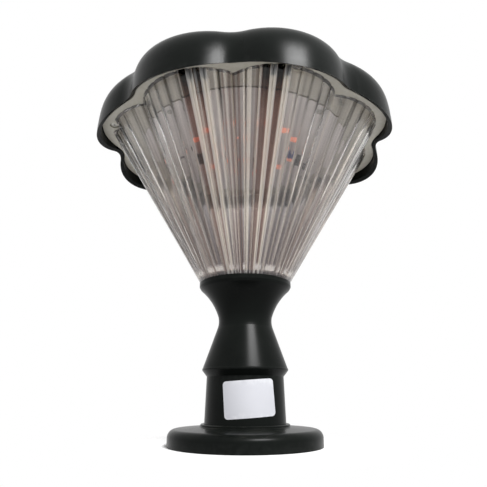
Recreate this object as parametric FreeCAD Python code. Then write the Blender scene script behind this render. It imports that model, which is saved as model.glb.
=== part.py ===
"""Solar pillar light: round foot, hourglass neck, fluted clear cone and an eight-petal domed cap.

Millimetres, +Z up, origin on the ground at the centre of the foot, the front towards -Y.
"""
import FreeCAD
import Part
import math
import os

V = FreeCAD.Vector

# Foot and tube
FOOT_R = 60.0
FOOT_TOP = 14.0
FOOT_EDGE = 6.0
WALL = 2.6
TUBE_R_LOW = 32.0
TUBE_R_HIGH = 30.8
TUBE_TOP = 51.0
TUBE_FLOOR = 44.0
STEP_R = 35.0
STEP_H = 2.0
HAND_HOLE_R = 14.0

# Bayonet plate under the foot
PLATE_R = 52.5
PLATE_BORE_R = 22.0
PLATE_Z = 1.4
PLATE_T = 1.5
PLATE_HOLE_RING_R = 38.0
STUD_RING_R = 40.0

# Hourglass neck
BEAD_R = 34.6
BEAD_Z = 56.4
WAIST_R = 21.9
WAIST_LOW = 91.5
WAIST_HIGH = 97.0
FLARE_TOP = 123.0
COLLAR_R = 38.6
COLLAR_TOP = 127.0
SHELF_Z = 118.4

# Fluted cone
FLUTES = 72
CONE_R_TOP = 111.5
CONE_R_LOW = 38.0
CONE_WALL = 2.6
FLUTE_DEPTH = 1.1
SPIGOT_R = 35.6
LUG_RING_R = CONE_R_TOP - 6.0

# Petal cap
PETALS = 8
PETAL_TURN = -4.3
LIP_R = 132.4
PETAL_DEPTH = 13.5
LIP_LOW = 248.5
DOME_Z = 250.5
LIP_SLOPE = 0.70
CAP_WALL = 3.0
TOP_Z = 297.0
TRAY_Z = 258.8
TRAY_T = 2.0
TRAY_TOP = TRAY_Z + TRAY_T
BOSS_RING_R = 119.0

# Radial clearance of a screw or bush in its hole
FIT = 0.02

# Solar panel in the top of the cap
PANEL = 112.0
PANEL_T = 3.0
CELL_STRIPS = 11

# Light source
BOARD_R = 92.0
BOARD_T = 1.6
LED_RINGS = ((22.0, 8, 22.5), (48.0, 16, 0.0))    # radius, count, first azimuth

# Switch, in a petal at the back of the tray
SWITCH_AZ = PETAL_TURN + 157.5
SWITCH_R = 118.5
BUSH_R = 4.4
PLUNGER_R = 2.55

# Bought-in cell
CELL_D = 18.4
CELL_L = 65.0

# Charge controller on the tray
BOARD_X = 34.0
BOARD_Y = 40.0
PILLAR_H = 5.0


# ---------------------------------------------------------------- helpers
def polar(radius, azimuth, z=0.0):
    """A point at an azimuth in degrees, 0 at the front and growing towards +X."""
    a = math.radians(azimuth)
    return V(radius * math.sin(a), -radius * math.cos(a), z)


def ring_of(count, first=0.0):
    return [first + 360.0 * i / count for i in range(count)]


def disc(radius, height, x=0.0, y=0.0, z=0.0):
    return Part.makeCylinder(radius, height, V(x, y, z))


def post(radius, height, at):
    return Part.makeCylinder(radius, height, at)


def block(dx, dy, dz, cx=0.0, cy=0.0, z=0.0):
    """A box centred on cx, cy and standing on z."""
    return Part.makeBox(dx, dy, dz, V(cx - dx / 2.0, cy - dy / 2.0, z))


def turned(outline):
    """A solid of revolution from (radius, z) points. A point of four values adds the
    middle of an arc that ends there: (radius, z, middle radius, middle z)."""
    edges = []
    points = [V(p[0], 0, p[1]) for p in outline]
    for i, point in enumerate(outline):
        start = points[i - 1]
        if len(point) == 4:
            middle = V(point[2], 0, point[3])
            edges.append(Part.Arc(start, middle, points[i]).toShape())
        elif (points[i] - start).Length > 1e-6:
            edges.append(Part.LineSegment(start, points[i]).toShape())
    face = Part.Face(Part.Wire(edges))
    solid = face.revolve(V(0, 0, 0), V(0, 0, 1), 360)
    return Part.makeSolid(solid.Shells[0]) if solid.ShapeType != "Solid" else solid


def ring(r_out, r_in, z, height):
    return disc(r_out, height, z=z).cut(disc(r_in, height, z=z))


def joined(shapes):
    whole = shapes[0].multiFuse(shapes[1:]) if len(shapes) > 1 else shapes[0]
    return whole.removeSplitter()


def petal_wire(radius, depth, z):
    """Closed outline of eight round petals with soft valleys between them."""
    edges = []
    half = 180.0 / PETALS
    soft = 4.0

    def shore(sweep):
        return radius - depth + depth * math.sin(math.radians(4.0 * sweep))

    for start in ring_of(PETALS, PETAL_TURN):
        left = polar(shore(soft), start + soft, z)
        right = polar(shore(soft), start + 2 * half - soft, z)
        following = polar(shore(soft), start + 2 * half + soft, z)
        crest = polar(radius, start + half, z)
        valley = polar(radius - 0.86 * depth, start + 2 * half, z)
        edges.append(Part.Arc(left, crest, right).toShape())
        edges.append(Part.Arc(right, valley, following).toShape())
    return Part.Wire(edges)


def petal_plate(radius, depth, z, height):
    return Part.Face(petal_wire(radius, depth, z)).extrude(V(0, 0, height))


def prism(sides, radius, height, at):
    """Upright prism whose corners lie on a circle; a negative height goes down."""
    corners = [at + polar(radius, az) for az in ring_of(sides, 180.0 / sides)]
    return Part.Face(Part.makePolygon(corners + [corners[0]])).extrude(V(0, 0, height))


def screw(at, length, shank_r, head_r, head_h, upward=True):
    """Plain screw with few faces; `at` is the seat under its head."""
    sign = 1.0 if upward else -1.0
    shank = prism(8, shank_r, sign * length, at)
    return prism(8, head_r, -sign * head_h, at).fuse(shank)


def lead(points, diameter):
    """A six-sided wire along straight runs joined by tangent arcs."""
    pts = [V(*p) for p in points]
    edges = []
    last = pts[0]
    for i in range(1, len(pts) - 1):
        back = (pts[i - 1] - pts[i])
        ahead = (pts[i + 1] - pts[i])
        trim = 0.45 * min(back.Length, ahead.Length)
        turn = math.pi - back.getAngle(ahead)
        radius = trim / math.tan(turn / 2.0)
        back.normalize()
        ahead.normalize()
        start = pts[i] + back * trim
        end = pts[i] + ahead * trim
        inward = (back + ahead).normalize()
        middle = pts[i] + inward * (radius / math.cos(turn / 2.0) - radius)
        edges.append(Part.LineSegment(last, start).toShape())
        edges.append(Part.Arc(start, middle, end).toShape())
        last = end
    edges.append(Part.LineSegment(last, pts[-1]).toShape())
    along = (pts[1] - pts[0]).normalize()
    across = along.cross(V(1, 0, 0) if abs(along.x) < 0.9 else V(0, 1, 0)).normalize()
    beside = along.cross(across)
    corners = [pts[0] + (across * math.cos(a) + beside * math.sin(a)) * (diameter / 2.0)
               for a in [math.pi * i / 3.0 for i in range(6)]]
    section = Part.makePolygon(corners + [corners[0]])
    return Part.Wire(edges).makePipeShell([section], True, False)


# ---------------------------------------------------------------- foot
def base_moulding():
    """Round foot with a rolled edge, an open underside and a drafted tube."""
    r = FOOT_R
    top = FOOT_TOP
    e = FOOT_EDGE
    bend = e * (1 - math.sqrt(0.5))
    outline = [
        (r - WALL, 0.0), (r, 0.0), (r, top - 1.5 - e),
        (r - e, top - 1.5, r - bend, top - 1.5 - bend),
        (STEP_R + 1.2, top), (STEP_R, top + 0.5),
        (STEP_R, top + STEP_H - 0.6), (STEP_R - 0.8, top + STEP_H),
        (TUBE_R_LOW, top + STEP_H), (TUBE_R_HIGH, TUBE_TOP),
        (TUBE_R_HIGH - WALL, TUBE_TOP), (TUBE_R_HIGH - WALL, TUBE_FLOOR + WALL),
        (HAND_HOLE_R, TUBE_FLOOR + WALL), (HAND_HOLE_R, TUBE_FLOOR),
        (TUBE_R_HIGH - WALL, TUBE_FLOOR),
        (TUBE_R_LOW - WALL, top - WALL), (r - e, top - 1.5 - WALL),
        (r - WALL, top - 1.5 - e),
    ]
    body = turned(outline)
    extras = []
    for az in ring_of(3, 30.0):
        extras.append(post(4.5, 9.5, polar(STUD_RING_R, az, PLATE_Z + PLATE_T + 0.2)))
    for az in ring_of(6, 0.0):
        web = Part.makeBox(21.0, 2.0, 8.0, V(30.0, -1.0, 4.0))
        web.rotate(V(0, 0, 0), V(0, 0, 1), az)
        extras.append(web)
    body = joined([body] + extras)
    for az in ring_of(3, 30.0):
        body = body.cut(post(1.5 + FIT, 6.6, polar(STUD_RING_R, az, PLATE_Z + PLATE_T)))
    for az in ring_of(3, 90.0):
        body = body.cut(post(2.2, 6.0, polar(20.0, az, TUBE_FLOOR - 1.0)))
    return body


def base_gasket():
    return ring(FOOT_R - WALL - 0.3, 53.0, 0.0, 2.6)


def mounting_plate():
    """Steel ring on three pressed feet with fixing holes, and three keyholes for the studs."""
    plate = ring(PLATE_R, PLATE_BORE_R, PLATE_Z, PLATE_T)
    feet = [post(7.0, PLATE_Z - 0.2, polar(PLATE_HOLE_RING_R, az, 0.2)) for az in ring_of(3, 90.0)]
    plate = joined([plate] + feet)
    for az in ring_of(3, 90.0):
        plate = plate.cut(post(2.75, 5.0, polar(PLATE_HOLE_RING_R, az, -1.0)))
    for az in ring_of(3, 30.0):
        run = block(14.0, 4.4, 4.0, -7.0, 0.0, PLATE_Z - 1.0)
        run.translate(V(0, -STUD_RING_R, 0))
        run.rotate(V(0, 0, 0), V(0, 0, 1), az)
        entry = post(4.4, 4.0, polar(STUD_RING_R, az - 18.0, PLATE_Z - 1.0))
        end = post(2.2, 4.0, polar(STUD_RING_R, az, PLATE_Z - 1.0))
        plate = plate.cut(run.fuse([entry, end]))
    return plate


def locking_studs():
    """Shouldered studs whose heads turn in under the plate."""
    studs = []
    for az in ring_of(3, 30.0):
        at = polar(STUD_RING_R, az, PLATE_Z - 0.1)
        head = prism(8, 3.8, -1.0, at)
        shank = prism(8, 1.5, 7.5, at)
        studs.append(joined([head, prism(8, 2.0, PLATE_T + 0.2, at), shank]))
    return Part.makeCompound(studs)


def base_neck_screws():
    return Part.makeCompound([
        screw(polar(20.0, az, TUBE_FLOOR), 11.0, 1.9, 3.6, 2.4)
        for az in ring_of(3, 90.0)])


def label_sticker():
    """Blank rounded sticker wrapped round the front of the tube, a little askew."""
    width = 37.6
    height = 26.6
    corner = 2.5
    centre_x = 2.8
    centre_z = 34.6
    tilt = -4.0
    slab = Part.makeBox(width, 30.0, height, V(-width / 2, -30.0, -height / 2))
    upright = [e for e in slab.Edges
               if abs(e.Vertexes[0].Y - e.Vertexes[-1].Y) > 20.0]
    slab = slab.makeFillet(corner, upright)
    slab.rotate(V(0, 0, 0), V(0, 1, 0), tilt)
    slab.translate(V(centre_x, -15.0, centre_z))
    low = FOOT_TOP + STEP_H
    tall = TUBE_TOP - low

    def sleeve(gap):
        return Part.makeCone(TUBE_R_LOW + gap, TUBE_R_HIGH + gap, tall, V(0, 0, low))

    return sleeve(0.25).cut(sleeve(0.02)).common(slab)


# ---------------------------------------------------------------- neck
def neck_moulding():
    """Hourglass: spigot, bead, straight cone, waist, concave flare and collar."""
    spigot = TUBE_R_HIGH - WALL - 0.15
    floor = TUBE_FLOOR + WALL
    outline = [
        (HAND_HOLE_R, floor), (spigot, floor), (spigot, TUBE_TOP), (TUBE_R_HIGH, TUBE_TOP),
        (BEAD_R, BEAD_Z - 0.6), (BEAD_R, BEAD_Z + 0.3), (BEAD_R - 0.5, BEAD_Z + 1.2),
        (WAIST_R + 0.7, WAIST_LOW - 1.6),
        (WAIST_R + 0.4, WAIST_HIGH + 1.6, WAIST_R, 0.5 * (WAIST_LOW + WAIST_HIGH)),
        (COLLAR_R - 1.2, FLARE_TOP - 1.5, 28.3, 111.3), (COLLAR_R, FLARE_TOP + 0.6),
        (COLLAR_R, COLLAR_TOP - 0.4), (COLLAR_R - 0.4, COLLAR_TOP),
        (SPIGOT_R + 0.2, COLLAR_TOP), (SPIGOT_R + 0.2, SHELF_Z + WALL), (5.0, SHELF_Z + WALL),
        (5.0, SHELF_Z), (29.5, SHELF_Z), (23.2, 107.0),
        (WAIST_R - WALL, 0.5 * (WAIST_LOW + WAIST_HIGH)),
        (BEAD_R - WALL - 1.6, BEAD_Z + 1.5), (spigot - WALL, TUBE_TOP),
        (spigot - WALL, floor + WALL), (HAND_HOLE_R, floor + WALL),
    ]
    body = turned(outline)
    bosses = [post(4.2, 9.0, polar(20.0, az, floor + 0.5)) for az in ring_of(3, 90.0)]
    body = joined([body] + bosses)
    for az in ring_of(3, 90.0):
        body = body.cut(post(1.9 + FIT, 9.0, polar(20.0, az, floor - 0.5)))
    for az in ring_of(3, 30.0):
        body = body.cut(post(2.2, 6.0, polar(12.0, az, SHELF_Z - 1.0)))
    return body


def neck_cone_screws():
    return Part.makeCompound([
        screw(polar(12.0, az, SHELF_Z), 8.5, 1.9, 3.6, 2.2)
        for az in ring_of(3, 30.0)])


def cone_seal():
    """Soft ring that the foot of the cone sits on."""
    return ring(SPIGOT_R, 30.0, SHELF_Z + WALL, 1.0)


# ---------------------------------------------------------------- cone
def flute_wire(crest_r, z):
    """Star outline: one crest and one groove for each flute."""
    groove_r = crest_r - FLUTE_DEPTH * (0.45 + 0.55 * crest_r / CONE_R_TOP)
    points = []
    for az in ring_of(FLUTES):
        points.append(polar(crest_r, az, z))
        points.append(polar(groove_r, az + 180.0 / FLUTES, z))
    return Part.makePolygon(points + [points[0]])


def lug_azimuths():
    return ring_of(4, 45.0)


def cone_diffuser():
    """Clear cone, fluted outside and smooth inside, closed by a floor at its foot."""
    outer = Part.makeLoft([flute_wire(CONE_R_LOW, COLLAR_TOP), flute_wire(CONE_R_TOP, TRAY_Z)],
                          True, True)
    foot = SHELF_Z + WALL + 1.0
    spigot = disc(SPIGOT_R, COLLAR_TOP - foot, z=foot)
    body = outer.fuse(spigot)
    inside = FLUTE_DEPTH + CONE_WALL
    low_r = CONE_R_LOW - inside
    top_r = CONE_R_TOP - inside
    body = body.cut(Part.makeCone(low_r, top_r, TRAY_Z - COLLAR_TOP, V(0, 0, COLLAR_TOP)))
    body = body.cut(disc(low_r - 2.4, 6.0, z=foot + 2.4))
    lugs = []
    for az in lug_azimuths():
        pad = Part.makeBox(10.0, 6.5, 9.0, V(-5.0, -CONE_R_TOP + 2.8, TRAY_Z - 9.0))
        pad.rotate(V(0, 0, 0), V(0, 0, 1), az)
        lugs.append(pad)
    lugs = [lug.common(outer) for lug in lugs]
    body = joined([body] + lugs)
    for az in lug_azimuths():
        body = body.cut(post(1.2 + FIT, 8.0, polar(LUG_RING_R, az, TRAY_Z - 7.5)))
    for az in ring_of(3, 30.0):
        body = body.cut(post(1.9 + FIT, 6.0, polar(12.0, az, foot - 1.0)))
    return body


def cone_top_screws():
    return Part.makeCompound([
        screw(polar(LUG_RING_R, az, TRAY_TOP), 8.0, 1.2, 2.6, 1.8, False)
        for az in lug_azimuths()])


# ---------------------------------------------------------------- tray and light source
def screw_azimuths():
    """Every other petal takes a tray screw."""
    return ring_of(PETALS // 2, PETAL_TURN + 180.0 / PETALS)


def tray_outline(inset):
    return LIP_R - CAP_WALL - 0.6 - inset


def reflector_tray():
    """Petal-shaped plate that closes the cap from below, with a cup for each screw."""
    plate = petal_plate(tray_outline(0.0), PETAL_DEPTH, TRAY_Z, TRAY_T)
    cups = [post(5.2, 4.0, polar(BOSS_RING_R, az, TRAY_Z)) for az in screw_azimuths()]
    plate = joined([plate] + cups)
    for az in screw_azimuths():
        plate = plate.cut(post(3.9, 2.6, polar(BOSS_RING_R, az, TRAY_Z)))
        plate = plate.cut(post(1.8, 8.0, polar(BOSS_RING_R, az, TRAY_Z)))
    for az in lug_azimuths():
        plate = plate.cut(post(1.5, 4.0, polar(LUG_RING_R, az, TRAY_Z - 1.0)))
    for az in ring_of(4, 45.0):
        plate = plate.cut(post(1.2, 8.0, polar(86.0, az, TRAY_Z - 1.0)))
    plate = plate.cut(post(5.0, 8.0, V(0, 20.0, TRAY_Z - 1.0)))
    plate = plate.cut(post(BUSH_R + FIT, 8.0, polar(SWITCH_R, SWITCH_AZ, TRAY_Z - 2.0)))
    return plate


def tray_seal():
    outer = petal_plate(tray_outline(0.2), PETAL_DEPTH, TRAY_TOP, 2.0)
    inner = petal_plate(tray_outline(3.0), PETAL_DEPTH, TRAY_TOP, 2.0)
    return outer.cut(inner)


def tray_screws():
    return Part.makeCompound([
        screw(polar(BOSS_RING_R, az, TRAY_Z + 2.6), 11.0, 1.5, 3.3, 2.0)
        for az in screw_azimuths()])


def led_board():
    board = disc(BOARD_R, BOARD_T, z=TRAY_Z - BOARD_T)
    for az in ring_of(4, 45.0):
        board = board.cut(post(1.7, 4.0, polar(86.0, az, TRAY_Z - 3.0)))
    return board.cut(post(4.0, 4.0, V(0, 20.0, TRAY_Z - 3.0)))


def led_board_screws():
    return Part.makeCompound([
        screw(polar(86.0, az, TRAY_Z - BOARD_T), 5.0, 1.2, 2.5, 1.6)
        for az in ring_of(4, 45.0)])


def led_chips():
    """Surface-mounted chips in rings on the underside of the board."""
    chips = []
    for radius, count, first in LED_RINGS:
        for az in ring_of(count, first):
            chip = block(3.4, 2.8, 0.9, 0.0, -radius, TRAY_Z - BOARD_T - 0.9)
            chip.rotate(V(0, 0, 0), V(0, 0, 1), az)
            chips.append(chip)
    return Part.makeCompound(chips)


def board_parts_dark():
    """Black driver chips on the underside of the light board, left and right."""
    z = TRAY_Z - BOARD_T
    spots = [(-57.0, 1.0), (-43.0, 6.5), (50.0, 9.5), (57.0, 22.0)]
    return Part.makeCompound([block(4.6, 5.4, 2.0, x, y, z - 2.0) for x, y in spots])


def board_parts_blue():
    """Blue storage capacitor that stands on the light board."""
    return disc(3.0, 7.0, 41.0, 4.0, TRAY_Z - BOARD_T - 7.0)


def led_connector():
    shell = block(8.0, 5.0, 5.0, 0.0, 27.5, TRAY_Z - BOARD_T - 5.0)
    return shell.cut(block(6.4, 3.4, 4.0, 0.0, 27.5, TRAY_Z - BOARD_T - 5.0))


# ---------------------------------------------------------------- switch
def switch_body():
    at = polar(SWITCH_R, SWITCH_AZ, 0.0)
    case = block(10.0, 10.0, 9.0, at.x, at.y, TRAY_TOP)
    case.rotate(V(at.x, at.y, 0), V(0, 0, 1), SWITCH_AZ)
    bush = post(BUSH_R, TRAY_T + 1.8, V(at.x, at.y, TRAY_Z - 1.8))
    hole = post(PLUNGER_R + 0.05, 9.0, V(at.x, at.y, TRAY_Z - 2.0))
    return joined([case, bush]).cut(hole)


def switch_nut():
    at = polar(SWITCH_R, SWITCH_AZ, 0.0)
    points = [V(at.x, at.y, 0) + polar(6.2, az, TRAY_Z - 1.6) for az in ring_of(6)]
    face = Part.Face(Part.makePolygon(points + [points[0]]))
    return face.extrude(V(0, 0, 1.6)).cut(post(BUSH_R + FIT, 3.0, V(at.x, at.y, TRAY_Z - 2.0)))


def switch_button():
    """Plunger with a bevelled end; it slides up into the bush."""
    at = polar(SWITCH_R, SWITCH_AZ, 0.0)
    low = TRAY_Z - 5.2
    stem = post(PLUNGER_R, TRAY_Z + 3.8 - low, V(at.x, at.y, low))
    edge = [e for e in stem.Edges if len(e.Vertexes) == 1 and e.Vertexes[0].Z < low + 0.1]
    return stem.makeChamfer(0.7, edge)


# ---------------------------------------------------------------- electronics in the cap
def pillar_spots(z):
    return [V(BOARD_X + dx, BOARD_Y + dy, z) for dx in (-21.0, 21.0) for dy in (-13.0, 13.0)]


def controller_board():
    board = block(50.0, 34.0, 1.6, BOARD_X, BOARD_Y, TRAY_TOP + PILLAR_H)
    for spot in pillar_spots(TRAY_TOP + PILLAR_H - 1.0):
        board = board.cut(post(1.2, 4.0, spot))
    return board


def board_pillars():
    return Part.makeCompound([
        prism(6, 3.0, PILLAR_H, spot).cut(post(1.1 + FIT, PILLAR_H, spot))
        for spot in pillar_spots(TRAY_TOP)])


def board_screws():
    seat = TRAY_TOP + PILLAR_H + 1.6
    return Part.makeCompound([
        screw(spot, 6.0, 1.1, 2.4, 1.4, False) for spot in pillar_spots(seat)])


def controller_chip():
    return block(10.0, 6.0, 1.8, BOARD_X - 4.0, BOARD_Y, TRAY_TOP + PILLAR_H + 1.6)


def inductor():
    """Bobbin core: a waist between two round flanges."""
    z = TRAY_TOP + PILLAR_H + 1.6
    flanges = [disc(5.0, 1.6, BOARD_X + 10.0, BOARD_Y, z + dz) for dz in (0.0, 5.4)]
    return joined([disc(3.6, 7.0, BOARD_X + 10.0, BOARD_Y, z)] + flanges)


def capacitor():
    return disc(4.0, 11.0, BOARD_X - 16.0, BOARD_Y, TRAY_TOP + PILLAR_H + 1.6)


def battery_holder():
    """Cradle with two end walls and a half-round bed for the cell."""
    y = -34.0
    bed = block(CELL_L + 11.0, 23.0, 14.0, 0.0, y, TRAY_TOP)
    axis_z = TRAY_TOP + 3.0 + CELL_D / 2.0
    trough = Part.makeCylinder(CELL_D / 2.0 + 0.2, CELL_L + 5.0,
                               V(-(CELL_L + 5.0) / 2.0, y, axis_z), V(1, 0, 0))
    slot = block(CELL_L + 5.0, CELL_D + 0.4, 20.0, 0.0, y, axis_z)
    return bed.cut(trough.fuse(slot))


def battery_cell():
    y = -34.0
    axis_z = TRAY_TOP + 3.0 + CELL_D / 2.0
    can = Part.makeCylinder(CELL_D / 2.0, CELL_L - 1.5, V(-CELL_L / 2.0, y, axis_z), V(1, 0, 0))
    tip = Part.makeCylinder(3.0, 1.5, V(CELL_L / 2.0 - 1.5, y, axis_z), V(1, 0, 0))
    return can.fuse(tip)


def battery_contacts():
    y = -34.0
    axis_z = TRAY_TOP + 3.0 + CELL_D / 2.0
    plates = []
    for sign in (-1.0, 1.0):
        x = sign * (CELL_L / 2.0 + 2.2)
        plates.append(block(0.4, 9.0, 9.0, x, y, axis_z - 4.5))
        start = V(x - sign * 2.2, y, axis_z)
        plates.append(Part.makeCone(2.0, 3.6, 2.0, start, V(sign, 0, 0)))
    halves = [joined(plates[:2]), joined(plates[2:])]
    return Part.makeCompound(halves)


def holder_strap():
    """Strap over the cell that keeps it in the cradle."""
    y = -34.0
    axis_z = TRAY_TOP + 3.0 + CELL_D / 2.0
    outer = Part.makeCylinder(CELL_D / 2.0 + 1.4, 8.0, V(-4.0, y, axis_z), V(1, 0, 0))
    inner = Part.makeCylinder(CELL_D / 2.0 + 0.1, 8.0, V(-4.0, y, axis_z), V(1, 0, 0))
    upper = block(8.0, 40.0, 20.0, 0.0, y, TRAY_TOP + 14.0)
    return outer.cut(inner).common(upper)


# ---------------------------------------------------------------- cap
def cap_sections(inset):
    """Petal outlines up the dome: (crest radius, petal depth, height)."""
    lip = LIP_R
    deep = PETAL_DEPTH
    rows = [
        (lip + 0.3, deep + 0.3, DOME_Z - 6.0),
        (lip, deep, DOME_Z + 10.0),
        (lip - 1.6, deep - 1.0, DOME_Z + 22.0),
        (lip - 6.2, deep - 3.0, DOME_Z + 33.0),
        (lip - 15.0, deep - 6.0, DOME_Z + 41.0),
        (lip - 30.0, deep - 10.0, TOP_Z - 0.8),
    ]
    return [petal_wire(r - inset, d, z - (inset if i > 1 else 0.0))
            for i, (r, d, z) in enumerate(rows)]


def cap_lip_cutter():
    """Everything below the lip, which rises from each petal to the valleys."""
    inner = 96.0
    outer = 150.0

    def lip_z(radius):
        return LIP_LOW + LIP_SLOPE * (LIP_R - radius)

    return turned([(inner, 200.0), (outer, 200.0), (outer, lip_z(outer)), (inner, lip_z(inner))])


def cap_shell():
    """Petal dome with a stepped pocket for the panel and a boss for each tray screw."""
    whole = Part.makeLoft(cap_sections(0.0), True, False)
    hollow = Part.makeLoft(cap_sections(CAP_WALL)[1::2], True, True)
    skirt = Part.makeLoft(cap_sections(CAP_WALL)[:2], True, True)
    hollow = hollow.fuse(skirt)
    shell = whole.cut(hollow).cut(cap_lip_cutter())
    bosses = []
    for az in screw_azimuths():
        boss = post(4.4, 40.0, polar(BOSS_RING_R, az, TRAY_Z + 4.0))
        bosses.append(boss.common(whole))
    well = block(PANEL + 6.0, PANEL + 6.0, CAP_WALL + 4.0, z=TOP_Z - 0.8 - CAP_WALL - 4.0)
    shell = joined([shell, well] + bosses)
    shell = shell.cut(block(PANEL + 0.6, PANEL + 0.6, PANEL_T + 0.6, z=TOP_Z - 0.8 - PANEL_T - 0.6))
    shell = shell.cut(block(PANEL - 8.0, PANEL - 8.0, 20.0, z=TOP_Z - 16.0))
    for az in screw_azimuths():
        shell = shell.cut(post(1.5 + FIT, 12.0, polar(BOSS_RING_R, az, TRAY_Z + 3.9)))
    return shell


# ---------------------------------------------------------------- solar panel
PANEL_BED = TOP_Z - 0.8 - PANEL_T - 0.6


def panel_seal():
    outer = block(PANEL, PANEL, 0.6, z=PANEL_BED)
    return outer.cut(block(PANEL - 8.0, PANEL - 8.0, 0.6, z=PANEL_BED))


def panel_substrate():
    return block(PANEL, PANEL, 1.6, z=PANEL_BED + 0.6)


def solar_cells():
    pitch = (PANEL - 8.0) / CELL_STRIPS
    first = -(PANEL - 8.0) / 2.0 + pitch / 2.0
    return Part.makeCompound([
        block(pitch - 0.7, PANEL - 10.0, 0.3, first + i * pitch, 0.0, PANEL_BED + 2.2)
        for i in range(CELL_STRIPS)])


def cell_ribbons():
    return Part.makeCompound([
        block(PANEL - 9.0, 1.6, 0.15, 0.0, y, PANEL_BED + 2.5) for y in (-26.0, 26.0)])


def panel_cover():
    """Clear resin over the cells; it fills the space round them."""
    sheet = block(PANEL, PANEL, 1.4, z=PANEL_BED + 2.2)
    return sheet.cut(block(PANEL - 7.0, PANEL - 7.0, 0.45, z=PANEL_BED + 2.2))


# ---------------------------------------------------------------- leads
BOARD_TOP = TRAY_TOP + PILLAR_H + 1.6


def panel_lead():
    """From the panel's junction down to the charge controller."""
    z = PANEL_BED + 0.6
    return lead([(30.0, 10.0, z), (30.0, 10.0, z - 8.0), (38.0, 21.0, z - 12.0),
                 (46.0, 33.0, BOARD_TOP + 8.0), (46.0, 33.0, BOARD_TOP)], 1.6)


def battery_lead():
    """From the cell's spring contact round the tray to the charge controller."""
    z = TRAY_TOP
    return lead([(-CELL_L / 2.0 - 2.4, -31.0, z + 15.6), (-43.0, -31.0, z + 15.6),
                 (-47.0, -15.0, z + 10.0), (-36.0, 8.0, z + 6.0), (-16.0, 27.0, z + 8.0),
                 (4.0, 35.0, BOARD_TOP + 6.0), (18.0, 34.0, BOARD_TOP + 6.0),
                 (18.0, 34.0, BOARD_TOP)], 1.6)


def led_lead():
    """From the charge controller down through the tray to the light board's plug."""
    z = TRAY_Z
    return lead([(23.0, 27.0, BOARD_TOP), (23.0, 27.0, BOARD_TOP + 7.0),
                 (12.0, 21.0, BOARD_TOP + 7.0), (0.0, 20.0, BOARD_TOP + 3.0),
                 (0.0, 20.0, z - 5.0), (0.0, 25.0, z - 5.0)], 1.4)


def switch_lead():
    """From the back of the push switch to the charge controller."""
    z = TRAY_TOP
    at = polar(SWITCH_R, SWITCH_AZ, 0.0)
    return lead([(at.x, at.y, z + 9.0), (at.x, at.y, z + 15.0),
                 (at.x - 2.0, at.y - 20.0, z + 17.0), (51.0, 62.0, BOARD_TOP + 9.0),
                 (50.0, 48.0, BOARD_TOP + 8.0), (50.0, 48.0, BOARD_TOP)], 1.6)


PIECES = {
    "base_moulding": base_moulding,
    "base_gasket": base_gasket,
    "mounting_plate": mounting_plate,
    "locking_studs": locking_studs,
    "base_neck_screws": base_neck_screws,
    "label_sticker": label_sticker,
    "neck_moulding": neck_moulding,
    "neck_cone_screws": neck_cone_screws,
    "cone_seal": cone_seal,
    "cone_diffuser": cone_diffuser,
    "cone_top_screws": cone_top_screws,
    "reflector_tray": reflector_tray,
    "tray_seal": tray_seal,
    "tray_screws": tray_screws,
    "led_board": led_board,
    "led_board_screws": led_board_screws,
    "led_chips": led_chips,
    "board_parts_dark": board_parts_dark,
    "board_parts_blue": board_parts_blue,
    "led_connector": led_connector,
    "switch_body": switch_body,
    "switch_nut": switch_nut,
    "switch_button": switch_button,
    "controller_board": controller_board,
    "board_pillars": board_pillars,
    "board_screws": board_screws,
    "controller_chip": controller_chip,
    "inductor": inductor,
    "capacitor": capacitor,
    "battery_holder": battery_holder,
    "battery_cell": battery_cell,
    "battery_contacts": battery_contacts,
    "holder_strap": holder_strap,
    "cap_shell": cap_shell,
    "panel_seal": panel_seal,
    "panel_substrate": panel_substrate,
    "solar_cells": solar_cells,
    "cell_ribbons": cell_ribbons,
    "panel_cover": panel_cover,
    "panel_lead": panel_lead,
    "battery_lead": battery_lead,
    "led_lead": led_lead,
    "switch_lead": switch_lead,
}


def main():
    os.makedirs("parts", exist_ok=True)
    for name, make in PIECES.items():
        shape = make()
        solids = shape.Solids
        print(name, len(solids), "solids", round(sum(s.Volume for s in solids)), shape.isValid())
        if len(solids) == 1:
            shape = solids[0]
        shape.exportStep(os.path.join("parts", name + ".step"))


if __name__ == "__main__":
    main()
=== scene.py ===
"""Looks of the solar pillar light: mouldings, fluted cone, light source, panel and stage."""
import math

import bmesh
import bpy
from bpy.props import (
    FloatProperty,
    FloatVectorProperty,
    IntProperty,
    PointerProperty,
)
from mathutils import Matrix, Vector


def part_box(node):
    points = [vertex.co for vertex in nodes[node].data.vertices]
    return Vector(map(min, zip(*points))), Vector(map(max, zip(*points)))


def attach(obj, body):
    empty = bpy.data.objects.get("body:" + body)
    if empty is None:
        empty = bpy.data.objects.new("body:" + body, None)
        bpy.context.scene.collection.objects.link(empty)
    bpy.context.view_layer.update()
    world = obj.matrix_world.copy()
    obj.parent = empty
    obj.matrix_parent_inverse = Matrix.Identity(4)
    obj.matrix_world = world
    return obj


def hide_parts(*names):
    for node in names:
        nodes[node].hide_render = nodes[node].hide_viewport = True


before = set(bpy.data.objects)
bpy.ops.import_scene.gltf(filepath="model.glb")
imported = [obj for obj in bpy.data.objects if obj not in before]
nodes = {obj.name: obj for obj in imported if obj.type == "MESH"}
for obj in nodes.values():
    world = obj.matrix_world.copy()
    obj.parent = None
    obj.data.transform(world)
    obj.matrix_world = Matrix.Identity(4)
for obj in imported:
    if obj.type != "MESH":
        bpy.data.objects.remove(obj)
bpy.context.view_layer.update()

bl_info = {
    "name": "Solar pillar light",
    "version": (1, 0, 0),
    "blender": (4, 5, 0),
    "location": "3D View > Sidebar > Pillar light",
    "description": "Builds the finishes and fine forms of a solar pillar light",
    "category": "Object",
}

MM = 0.001
LAMP_BODY = "lamp"

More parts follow.
